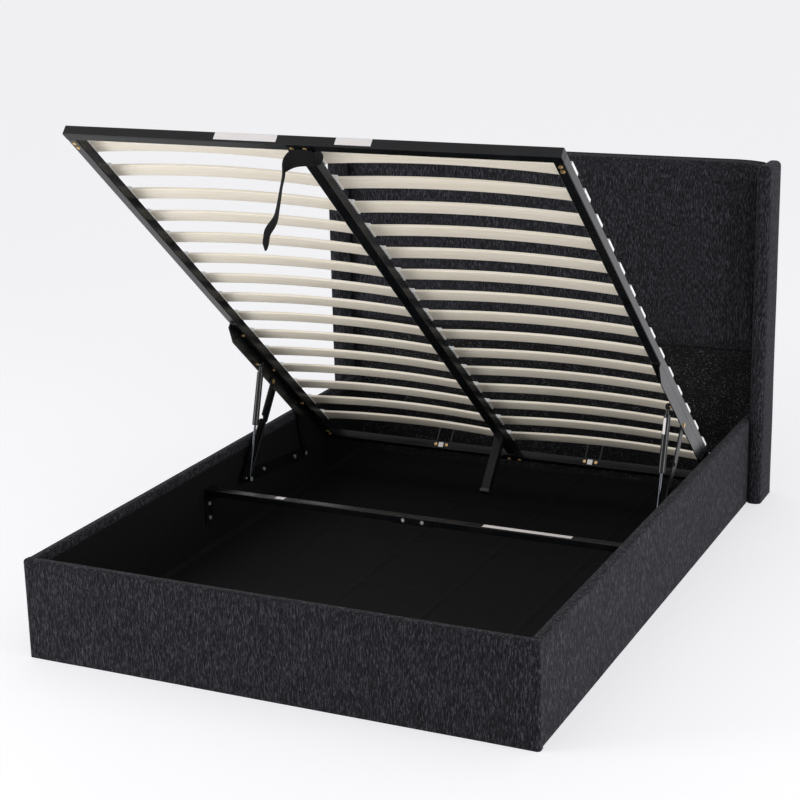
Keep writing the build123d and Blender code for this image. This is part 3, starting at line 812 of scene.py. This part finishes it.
def padded_board(name: str, low: Vector, high: Vector, soft_edge: EdgeTest, radius: float,
                 grid: float = 45 * MM, swell: float = 1.6 * MM) -> Piece:
    """Model a board wrapped in thin foam and cloth.

    Args:
        name: Name of the piece.
        low: Lowest corner.
        high: Highest corner.
        soft_edge: Test of the edges that the foam rounds.
        radius: Radius of those edges.
        grid: Distance between the cuts that let the faces bend.
        swell: Height of the foam's unevenness.

    Returns:
        The board.
    """
    board = new_block(name, low, high)
    round_edges(board, soft_edge, radius)
    for axis in (X, Y, Z):
        cut_across(board, axis, grid)
    ripple(board, swell, 5 * grid)
    bend_above(board)
    return board


@dataclass
class UpholsteredBox:
    """Footboard and side rails round the storage space."""

    cloth: Material
    edge_radius: float = 9 * MM
    turn_down: float = 16 * MM
    cloth_thickness: float = 1.5 * MM

    def build(self) -> None:
        """Build the three padded boards."""
        self.board("footboard", "lining_foot", Y, lambda a, b: max(a.z, b.z) > FLOOR_SLACK)
        for side in Side:
            node = f"side_rail_{side.value}"
            _, high = node_corners(node)
            top = high.z - FLOOR_SLACK
            self.board(node, f"lining_{side.value}", X,
                       lambda a, b: min(a.z, b.z) > top and abs(a.y - b.y) > FLOOR_SLACK)

    def board(self, node: str, lining: str, across: int, soft_edge: EdgeTest) -> None:
        """Build one board in place of its CAD node, with its cloth turned down over the lining.

        Args:
            node: Node of the board.
            lining: Node of the liner board inside it.
            across: Axis across the board's thickness.
            soft_edge: Test of the edges that the foam rounds.
        """
        low, high = node_corners(node)
        lining_low, lining_high = node_corners(lining)
        wide_low, wide_high = low.copy(), high.copy()
        if lining_low[across] < low[across]:
            wide_low[across] = lining_low[across] - self.cloth_thickness
        else:
            wide_high[across] = lining_high[across] + self.cloth_thickness
        piece = padded_board(f"{node}_cover", wide_low, wide_high, soft_edge, self.edge_radius)
        hem = lining_high.z - self.turn_down
        reach = lining_high.x - self.cloth_thickness
        cut_at(piece, Z, (hem, hem - self.cloth_thickness))
        if across == Y:
            cut_at(piece, X, (-lining_high.x, -reach, reach, lining_high.x))
        for vertex in piece.data.vertices:
            if vertex.co.z < hem - FLOOR_SLACK or (across == Y and abs(vertex.co.x) > reach + FLOOR_SLACK):
                vertex.co[across] = min(max(vertex.co[across], low[across]), high[across])
        dress_padded(piece, self.cloth, node)


@dataclass
class Headboard:
    """Winged headboard: a padded upper cushion, a plain lower panel, a back board and two wings."""

    cloth: Material
    panel_cloth: Material
    back_cloth: Material
    wing_radius: float = 17 * MM
    wing_rise: float = 3.5 * MM
    top_radius: float = 38 * MM
    seam_radius: float = 12 * MM
    side_radius: float = 8 * MM
    panel_radius: float = 8 * MM
    core_swell: float = 0.6 * MM
    back_radius: float = 26 * MM
    crown: float = 5 * MM
    top_rise: float = 8 * MM
    droop: float = 7 * MM
    droop_reach: float = 90 * MM
    grid: float = 45 * MM
    voxel: float = 9 * MM
    pressure: float = 4.0
    frames: int = 20
    swell_limit: float = 6 * MM
    swell_room: float = 4 * MM
    back_inset: float = 22 * MM
    back_thickness: float = 0.8 * MM

    def build(self) -> None:
        """Build the pieces from the back to the front."""
        self.build_core()
        self.build_back_cloth()
        self.build_lower_panel()
        self.build_cushion()
        for side in Side:
            self.build_wing(side)

    def build_core(self) -> None:
        """Build the board behind the lower panel. Higher up, the cushion's cloth wraps it."""
        low, high = node_corners("headboard_core")
        seam, _ = node_corners("headboard_cushion")
        back = high.y - FLOOR_SLACK
        core = padded_board("headboard_back_board", low, Vector((high.x, high.y, seam.z)),
                            lambda a, b: min(a.y, b.y) > back and abs(a.x - b.x) < FLOOR_SLACK
                            and min(a.z, b.z) < FLOOR_SLACK, self.panel_radius, swell=self.core_swell)
        dress_padded(core, self.cloth, "headboard_core")

    def build_back_cloth(self) -> None:
        """Build the thin dust cover that closes the back."""
        low, high = node_corners("headboard_core")
        inset = self.back_inset
        back = new_block("headboard_dust_cover", (low.x + inset, high.y, low.z + inset),
                         (high.x - inset, high.y + self.back_thickness, high.z - inset))
        for axis in (X, Z):
            cut_across(back, axis, self.grid)
        dress(back, self.back_cloth, Body.BASE)

    def build_lower_panel(self) -> None:
        """Build the plain panel below the seam."""
        low, high = node_corners("headboard_lower_panel")
        top, front = high.z - FLOOR_SLACK, low.y + FLOOR_SLACK
        panel = padded_board("headboard_lower_cover", low, high,
                             lambda a, b: min(a.z, b.z) > top and max(a.y, b.y) < front, self.panel_radius)
        dress_padded(panel, self.panel_cloth, "headboard_lower_panel")

    def build_cushion(self) -> None:
        """Build the crowned cushion above the seam, wrapped over the board's top, and let it swell."""
        low, board_front = node_corners("headboard_cushion")
        _, high = node_corners("headboard_core")
        front = low.y + self.swell_room
        cushion = new_block("headboard_cushion_cover", (low.x, front, low.z), high)
        near, bottom = front + FLOOR_SLACK, low.z + FLOOR_SLACK
        side, far, top = high - Vector((FLOOR_SLACK,) * 3)
        for test, radius in (
                (lambda a, b: min(a.z, b.z) > top and max(a.y, b.y) < near, self.top_radius),
                (lambda a, b: min(a.z, b.z) > top and min(a.y, b.y) > far, self.back_radius),
                (lambda a, b: max(a.z, b.z) < bottom and max(a.y, b.y) < near, self.seam_radius),
                (lambda a, b: min(abs(a.x), abs(b.x)) > side and max(a.y, b.y) < near, self.side_radius)):
            round_edges(cushion, test, radius)
        for axis in (X, Z):
            cut_across(cushion, axis, self.grid)
        for vertex in cushion.data.vertices:
            share = (vertex.co.x / high.x) ** 2
            depth = (high.y - vertex.co.y) / (high.y - front)
            vertex.co.y += self.crown * share * depth
            corner = max(0.0, 1 - (high.x - abs(vertex.co.x)) / self.droop_reach)
            height = max(0.0, 2 * (vertex.co.z - low.z) / (high.z - low.z) - 1)
            vertex.co.z += (self.top_rise - self.droop * corner ** 2) * height
        self.swell(cushion, lambda at: at.y > board_front.y or at.z < low.z + self.swell_room)
        dress_padded(cushion, self.cloth, "headboard_cushion")

    def swell(self, piece: Piece, held: PointTest) -> None:
        """Let a closed cover swell under the foam's pressure.

        Args:
            piece: Closed mesh, a little smaller than it will be.
            held: Test of the points that staples or a seam hold.
        """
        take(piece)
        piece.data.remesh_voxel_size = self.voxel
        bpy.ops.object.voxel_remesh()
        start = [vertex.co.copy() for vertex in piece.data.vertices]
        group = piece.vertex_groups.new(name="held")
        group.add([index for index, point in enumerate(start) if held(point)], 1.0, "REPLACE")
        cloth = piece.modifiers.new("cloth", "CLOTH")
        cloth.settings.vertex_group_mass = "held"
        cloth.settings.use_pressure = True
        cloth.settings.uniform_pressure_force = self.pressure
        cloth.settings.effector_weights.gravity = 0
        cloth.settings.quality = 4
        scene = bpy.context.scene
        for number in range(1, self.frames + 1):
            scene.frame_set(number)
        apply_modifiers(piece)
        scene.frame_set(1)
        piece.vertex_groups.clear()
        for vertex, point in zip(piece.data.vertices, start):
            shift = vertex.co - point
            if shift.length > self.swell_limit:
                vertex.co = point + shift.normalized() * self.swell_limit
        refine(piece, 1)
        apply_modifiers(piece)

    def build_wing(self, side: Side) -> None:
        """Build one wing.

        Args:
            side: Side of the bed.
        """
        node = f"wing_{side.value}"
        low, high = node_corners(node)
        high.z += self.wing_rise
        wing = padded_board(f"{node}_cover", low, high, lambda a, b: max(a.z, b.z) > FLOOR_SLACK,
                            self.wing_radius)
        dress_padded(wing, self.cloth, node)


@dataclass
class StorageFloor:
    """Loose black cloth on the floor of the storage space, with the folds of its packing."""

    cloth: Material
    grid: float = 24 * MM
    thickness: float = 0.8 * MM
    lift: float = 0.6 * MM
    fold_height: float = 3.2 * MM
    fold_width: float = 11 * MM
    fold_shares: tuple[float, ...] = (0.2, 0.4, 0.6, 0.8)
    edge_gap: float = 0.5 * MM
    turn_up: float = 6 * MM
    turn_width: float = 14 * MM
    wrinkle: float = 2.2 * MM
    wrinkle_size: float = 160 * MM
    lowest: float = 0.1 * MM

    def build(self) -> None:
        """Build the cloth as one sheet."""
        low, high = node_corners("base_cloth")
        gap = Vector((self.edge_gap, self.edge_gap, 0))
        low, size = low + gap, high - low - 2 * gap
        middle = low + size / 2
        deselect_all()
        bpy.ops.mesh.primitive_grid_add(x_subdivisions=round(size.x / self.grid),
                                        y_subdivisions=round(size.y / self.grid), size=1,
                                        location=(middle.x, middle.y, self.lift))
        sheet = name_piece(bpy.context.object, "storage_floor_cloth")
        sheet.scale = (size.x, size.y, 1)
        settle(sheet)
        refine(sheet, 2, "SIMPLE")
        apply_modifiers(sheet)
        for vertex in sheet.data.vertices:
            vertex.co.z += self.fold_rise(vertex.co, low, size)
        ripple(sheet, self.wrinkle, self.wrinkle_size, depth=3, middle=0.2)
        thicken(sheet, self.thickness)
        bend_above(sheet, self.lowest)
        smooth(sheet, math.pi / 3)
        dress(sheet, self.cloth, Body.BASE)
        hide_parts("base_cloth")

    def fold_rise(self, point: Vector, low: Vector, size: Vector) -> float:
        """Height of the packing folds and of the turned-up edge at a point of the cloth.

        Args:
            point: Point of the cloth.
            low: Lowest corner of the cloth.
            size: Length and width of the cloth.

        Returns:
            Height above the flat cloth.
        """
        margin = min(min(point[axis] - low[axis], low[axis] + size[axis] - point[axis]) for axis in (X, Y))
        rise = self.turn_up * max(0.0, 1 - margin / self.turn_width)
        for share in self.fold_shares:
            for axis in (X, Y):
                distance = abs(point[axis] - low[axis] - share * size[axis])
                rise = max(rise, self.fold_height * max(0.0, 1 - distance / self.fold_width))
        return rise


class PlatformPlace:
    """Level frame of the tilted platform: x across, t from its foot end, o above its underside."""

    def __init__(self) -> None:
        """Read the platform's tilt from its two end rails, and its foot end from the foot rail's faces."""
        foot_low, _ = node_corners("foot_rail")
        head_low, _ = node_corners("head_rail")
        tilt = math.atan2(foot_low.z - head_low.z, head_low.y - foot_low.y)
        along = Vector((0, math.cos(tilt), -math.sin(tilt)))
        above = Vector((0, math.sin(tilt), math.cos(tilt)))
        points = [vertex.co for vertex in frame["nodes"]["foot_rail"].data.vertices]
        heights = [point.dot(above) for point in points]
        self.tube = max(heights) - min(heights)
        foot = along * min(point.dot(along) for point in points) + above * min(heights)
        self.matrix = Matrix.Translation(foot) @ Matrix.Rotation(-tilt, 4, "X")

    def corners(self, node: str) -> tuple[Vector, Vector]:
        """Lowest and highest corner of a platform node in the level frame.

        Args:
            node: CAD node of the platform.

        Returns:
            The two corners.
        """
        inverse = self.matrix.inverted()
        points = [inverse @ vertex.co for vertex in frame["nodes"][node].data.vertices]
        low = Vector([min(point[axis] for point in points) for axis in (X, Y, Z)])
        high = Vector([max(point[axis] for point in points) for axis in (X, Y, Z)])
        return low, high


@dataclass
class Slats:
    """Bowed slats, a left and a right one in each row."""

    wood: Material
    place: PlatformPlace
    count: int = 15
    thickness: float = 8 * MM
    edge_radius: float = 2.2 * MM
    steps: float = 26 * MM
    level_end: float = 18 * MM

    def build(self) -> None:
        """Build the rows in place of their CAD nodes."""
        low, high = self.place.corners("slat_row_01")
        crown = high.z - low.z - self.thickness
        right = self.slat(low, high, crown)
        left = copied(right, "slat_left", MIRROR)
        pair = joined("slat_pair", [right, left])
        for index in range(self.count):
            node = f"slat_row_{index + 1:02d}"
            node_low, _ = self.place.corners(node)
            shift = Matrix.Translation((0, node_low.y - low.y, 0))
            row = copied(pair, f"{node}_bowed", self.place.matrix @ shift)
            smooth(row)
            dress(row, self.wood, Body.PLATFORM)
            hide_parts(node)
        bpy.data.objects.remove(pair)

    def slat(self, low: Vector, high: Vector, crown: float) -> Piece:
        """Model the right slat of the first row in the level frame.

        Args:
            low: Lowest corner of the row.
            high: Highest corner of the row.
            crown: Rise of the bow.

        Returns:
            The slat, bowed between its level ends.
        """
        nodes = [vertex.co.x for vertex in frame["nodes"]["slat_row_01"].data.vertices]
        inner = min(value for value in nodes if value > 0)
        slat = new_block("slat_right", (inner, low.y, low.z), (high.x, high.y, low.z + self.thickness))
        round_edges(slat, lambda a, b: abs(a.x - b.x) > self.level_end, self.edge_radius, 3)
        cut_across(slat, X, self.steps)
        half = (high.x - inner) / 2 - self.level_end
        middle = (high.x + inner) / 2
        for vertex in slat.data.vertices:
            share = (vertex.co.x - middle) / half
            vertex.co.z += crown * max(0.0, 1 - share * share)
        return slat


@dataclass
class PullStrap:
    """Webbing strap tied round the foot end of the centre beam, with a hanging tail."""

    webbing: Material
    place: PlatformPlace
    band: float = 2.4 * MM
    width: float = 25 * MM
    wrap_reach: float = 2.0 * MM
    wrap_start: float = 32 * MM
    skew: float = 6 * MM
    sag: float = 3 * MM
    # Folded band under the beam, in millimetres of the platform's level frame: its foot-side edge
    # and its head-side edge, from the right of the beam to the left
    folds: tuple[tuple[Sequence[float], Sequence[float]], ...] = (
        ((38, 34, 6), (28, 62, 4)), ((39, 24, -4), (28, 66, -4)), ((34, 10, -6), (12, 84, -7)),
        ((24, 3, -8), (-6, 86, -9)), ((6, 2, -9), (-26, 85, -11)), ((-17, 4, -10), (-44, 90, -14)),
        ((-35, 22, -13), (-56, 93, -20)), ((-50, 39, -18), (-60, 89, -26)),
    )
    # Hanging tail, in millimetres of the room: its left and its right edge from the top down
    tail: tuple[tuple[Sequence[float], Sequence[float]], ...] = (
        ((-62, -716, 1288), (-58, -704, 1268)), ((-70, -698, 1266), (-53, -714, 1262)),
        ((-79, -697, 1236), (-62, -715, 1236)), ((-87, -698, 1200), (-68, -714, 1200)),
        ((-94, -699, 1175), (-74, -713, 1176)), ((-99, -700, 1158), (-78, -712, 1155)),
        ((-116, -706, 1139), (-87, -706, 1138)), ((-126, -706, 1124), (-98, -706, 1123)),
        ((-128, -706, 1106), (-107, -706, 1113)), ((-132, -706, 1093), (-109, -706, 1097)),
        ((-128, -706, 1081), (-113, -706, 1082)), ((-125, -706, 1071), (-120, -706, 1071)),
    )

    def build(self) -> None:
        """Build the wrap round the beam, its folds and the tail as one piece."""
        matrix = self.place.matrix
        folded = [tuple(matrix @ (Vector(point) * MM) for point in pair) for pair in self.folds]
        hanging = [tuple(Vector(point) * MM for point in pair) for pair in self.tail]
        strap = joined("pull_strap_webbing", [self.wrap(), self.ribbon("strap_fold", folded + hanging)])
        smooth(strap)
        dress(strap, self.webbing, Body.PLATFORM)
        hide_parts("pull_strap")

    def ribbon(self, name: str, stations: Sequence[Station], closed: bool = False) -> Piece:
        """Model a flat band through pairs of edge points.

        Args:
            name: Name of the band.
            stations: Left and right edge point at each step.
            closed: Whether the last step joins the first.

        Returns:
            The band, with its thickness.
        """
        points = [point for station in stations for point in station]
        count = len(stations)
        steps = range(count if closed else count - 1)
        faces = [(2 * i, 2 * i + 1, (2 * i + 3) % (2 * count), (2 * i + 2) % (2 * count)) for i in steps]
        band = new_surface(name, points, faces)
        thicken(band, self.band)
        refine(band, 2)
        apply_modifiers(band)
        return band

    def wrap(self) -> Piece:
        """Band wound round the beam, drawn in the level frame.

        Returns:
            The band, moved into place.
        """
        _, beam_high = self.place.corners("centre_beam")
        half = beam_high.x + self.wrap_reach
        bottom = -self.wrap_reach - self.band
        top = self.place.tube + self.wrap_reach
        corners = [(-half, bottom), (0, bottom - self.sag), (half, bottom), (half + MM, top / 2),
                   (half, top), (0, top + MM), (-half, top), (-half - MM, top / 2)]
        stations = []
        for index, (x, o) in enumerate(corners):
            near = self.wrap_start + self.skew * math.sin(math.pi * index / 4)
            ends = (near, near + 2 * self.width)
            stations.append(tuple(self.place.matrix @ Vector((x, t, o)) for t in ends))
        return self.ribbon("strap_wrap", stations, closed=True)


@dataclass
class Retainers:
    """Bent steel rods on the head rail, which keep the mattress from sliding."""

    steel: Material
    place: PlatformPlace
    radius: float = 3.2 * MM
    bend: float = 14 * MM
    bend_steps: int = 8

    def build(self) -> None:
        """Build both rods in place of their CAD nodes."""
        for side in Side:
            node = f"retainer_{side.value}"
            low, high = self.place.corners(node)
            rod = self.rod(f"{node}_rod", low, high)
            rod.data.transform(self.place.matrix)
            smooth(rod)
            dress(rod, self.steel, Body.PLATFORM)
            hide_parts(node)

    def rod(self, name: str, low: Vector, high: Vector) -> Piece:
        """Model one rod in the level frame.

        Args:
            name: Name of the rod.
            low: Lowest corner of the CAD rod.
            high: Highest corner of the CAD rod.

        Returns:
            The rod, up from the rail, across and down again.
        """
        along = (low.y + high.y) / 2
        left, right, top = low.x + self.radius, high.x - self.radius, high.z - self.radius
        path = [Vector((left, along, low.z))]
        for corner, start in ((left + self.bend, math.pi), (right - self.bend, math.pi / 2)):
            for step in range(self.bend_steps + 1):
                angle = start - step / self.bend_steps * math.pi / 2
                path.append(Vector((corner + self.bend * math.cos(angle), along,
                                    top - self.bend + self.bend * math.sin(angle))))
        path.append(Vector((right, along, low.z)))
        curve = bpy.data.curves.new(name, "CURVE")
        curve.dimensions = "3D"
        curve.bevel_depth = self.radius
        curve.bevel_resolution = 4
        curve.use_fill_caps = True
        line = curve.splines.new("POLY")
        line.points.add(len(path) - 1)
        for point, place in zip(line.points, path):
            point.co = (*place, 1)
        take(new_object(name, curve))
        bpy.ops.object.convert(target="MESH")
        return name_piece(bpy.context.object, name)


@dataclass
class LinkFlanges:
    """Folded edge along the low side of each front link, which stiffens it."""

    steel: Material
    angle: float = math.radians(53.31)
    pivot: tuple[float, float] = (77.95 * MM, 162 * MM)
    start: float = 20 * MM
    end: float = 307 * MM
    step_start: float = 192 * MM
    step_end: float = 198 * MM
    step: float = 6 * MM
    low_edge: float = -13 * MM
    reach: float = 8 * MM
    sheet: float = 2.5 * MM
    edge_radius: float = 0.8 * MM

    def build(self) -> None:
        """Build both flanges in the links' own frame and turn them into place."""
        low, _ = node_corners("front_link_right")
        flange = new_block("front_link_right_flange", (low.x - self.reach, self.start, self.low_edge),
                           (low.x + self.sheet, self.end, self.low_edge + self.sheet))
        cut_at(flange, Y, (self.step_start, self.step_end))
        for vertex in flange.data.vertices:
            if vertex.co.y > self.step_end - MM:
                vertex.co.z -= self.step
        round_edges(flange, lambda a, b: abs(a.y - b.y) > MM, self.edge_radius, 2)
        flange.data.transform(Matrix.Translation((0, *self.pivot)) @ Matrix.Rotation(self.angle, 4, "X"))
        dress_pair(flange, self.steel, Body.FRONT_LINKS)


@dataclass
class TubeHoleShades:
    """Painted shade: thin dark oval discs on the side tubes' outer faces, near the foot end, which stand
    in for the shade inside a hole in each tube.
    """

    plastic: Material
    place: PlatformPlace
    along: float = 23.2 * MM
    above: float = 14.0 * MM
    half_length: float = 4.5 * MM
    half_height: float = 3.2 * MM
    proud: float = 0.3 * MM
    edge_radius: float = 0.2 * MM

    def build(self) -> None:
        """Build one dark disc of painted shade on each side."""
        deselect_all()
        bpy.ops.mesh.primitive_cylinder_add(vertices=24, radius=1, depth=self.proud,
                                            rotation=(0, math.pi / 2, 0))
        hole_shade = settle(name_piece(bpy.context.object, "side_tube_right_plug"))
        rim = self.proud / 3
        round_edges(hole_shade, lambda a, b: min(a.x, b.x) > rim, self.edge_radius, 2)
        _, high = self.place.corners("side_tube_right")
        for vertex in hole_shade.data.vertices:
            vertex.co = Vector((high.x + vertex.co.x + rim, self.along + vertex.co.y * self.half_length,
                                self.above + vertex.co.z * self.half_height))
        hole_shade.data.transform(self.place.matrix)
        dress_pair(hole_shade, self.plastic, Body.PLATFORM)


@dataclass
class Labels:
    """Blank labels where the photograph shows printed ones."""

    paper: Material
    place: PlatformPlace
    thickness: float = 0.3 * MM
    gap: float = 0.02 * MM
    # Labels on the end rails, in millimetres of the platform's level frame: name, left and right
    # end, lower and upper edge, and the distance of their face from the foot end
    on_rails: tuple[tuple[str, float, float, float, float, float], ...] = (
        ("foot_rail_label_1", -233, -59, 5.5, 25.5, 0), ("foot_rail_label_2", 100, 196, 5.5, 25.5, 0),
        ("head_rail_label_left", -269, -252, 5, 21.5, 1851),
        ("head_rail_label_right", 249, 266, 5, 21.5, 1851),
    )
    # Left and right ends of the labels on top of the crossbar, and their distance from its edges
    on_crossbar: tuple[tuple[float, float], ...] = ((-452 * MM, -424 * MM), (212 * MM, 478 * MM))
    crossbar_margin: float = 5 * MM
    # Axis of the right gas strut, as its lower eye and its direction from there, and the place of
    # the label along and round it
    strut_foot: tuple[float, float, float] = (655 * MM, 77.95 * MM, 162 * MM)
    strut_run: tuple[float, float, float] = (0.0, 0.28626, 0.95815)
    strut_radius: float = 10.2 * MM
    strut_span: tuple[float, float] = (278 * MM, 324 * MM)
    strut_angles: tuple[int, ...] = (-45, -35, -25, -15, -5, 5)

    def build(self) -> None:
        """Stick the labels on the right strut, the foot rail, the head rail and the crossbar."""
        self.build_strut_label()
        for name, left, right, bottom, top, face in self.on_rails:
            label = new_block(name, (left * MM, face * MM - self.thickness, bottom * MM),
                              (right * MM, face * MM - self.gap, top * MM))
            label.data.transform(self.place.matrix)
            dress(label, self.paper, Body.PLATFORM)
        low, high = node_corners("crossbar_right")
        for index, (left, right) in enumerate(self.on_crossbar):
            label = new_block(f"crossbar_label_{index + 1}",
                              (left, low.y + self.crossbar_margin, high.z + self.gap),
                              (right, high.y - self.crossbar_margin, high.z + self.thickness))
            dress(label, self.paper, Body.BASE)

    def build_strut_label(self) -> None:
        """Wrap a narrow label part of the way round the right strut's cylinder."""
        run = Vector(self.strut_run)
        across = Vector((1, 0, 0))
        outward = across.cross(run)
        angles = [math.radians(angle) for angle in self.strut_angles]
        points = [Vector(self.strut_foot) + run * distance
                  + (across * math.sin(angle) + outward * math.cos(angle)) * self.strut_radius
                  for distance in self.strut_span for angle in angles]
        count = len(angles)
        faces = [(i, i + 1, count + i + 1, count + i) for i in range(count - 1)]
        label = new_surface("strut_label", points, faces)
        thicken(label, self.thickness)
        apply_modifiers(label)
        smooth(label)
        dress(label, self.paper, Body.STRUT_TUBES)


def main() -> None:
    """Build the studio and dress the bed, sub-assembly by sub-assembly."""
    logging.basicConfig(level=logging.INFO, format="%(name)s: %(message)s")
    Studio().build()
    finishes = Finishes()
    finishes.dress_nodes()
    by_slot = finishes.by_slot
    UpholsteredBox(by_slot["upholstery"]).build()
    Headboard(by_slot["upholstery"], by_slot["panel_fabric"], by_slot["lining"]).build()
    StorageFloor(by_slot["lining"]).build()
    place = PlatformPlace()
    Slats(by_slot["slat_wood"], place).build()
    PullStrap(by_slot["webbing"], place).build()
    Retainers(by_slot["frame_steel"], place).build()
    LinkFlanges(by_slot["frame_steel"]).build()
    # Dark discs of painted shade where the side tubes have holes
    TubeHoleShades(by_slot["foot_plastic"], place).build()
    Labels(finishes.label_paper, place).build()


if __name__ == "__main__":
    main()
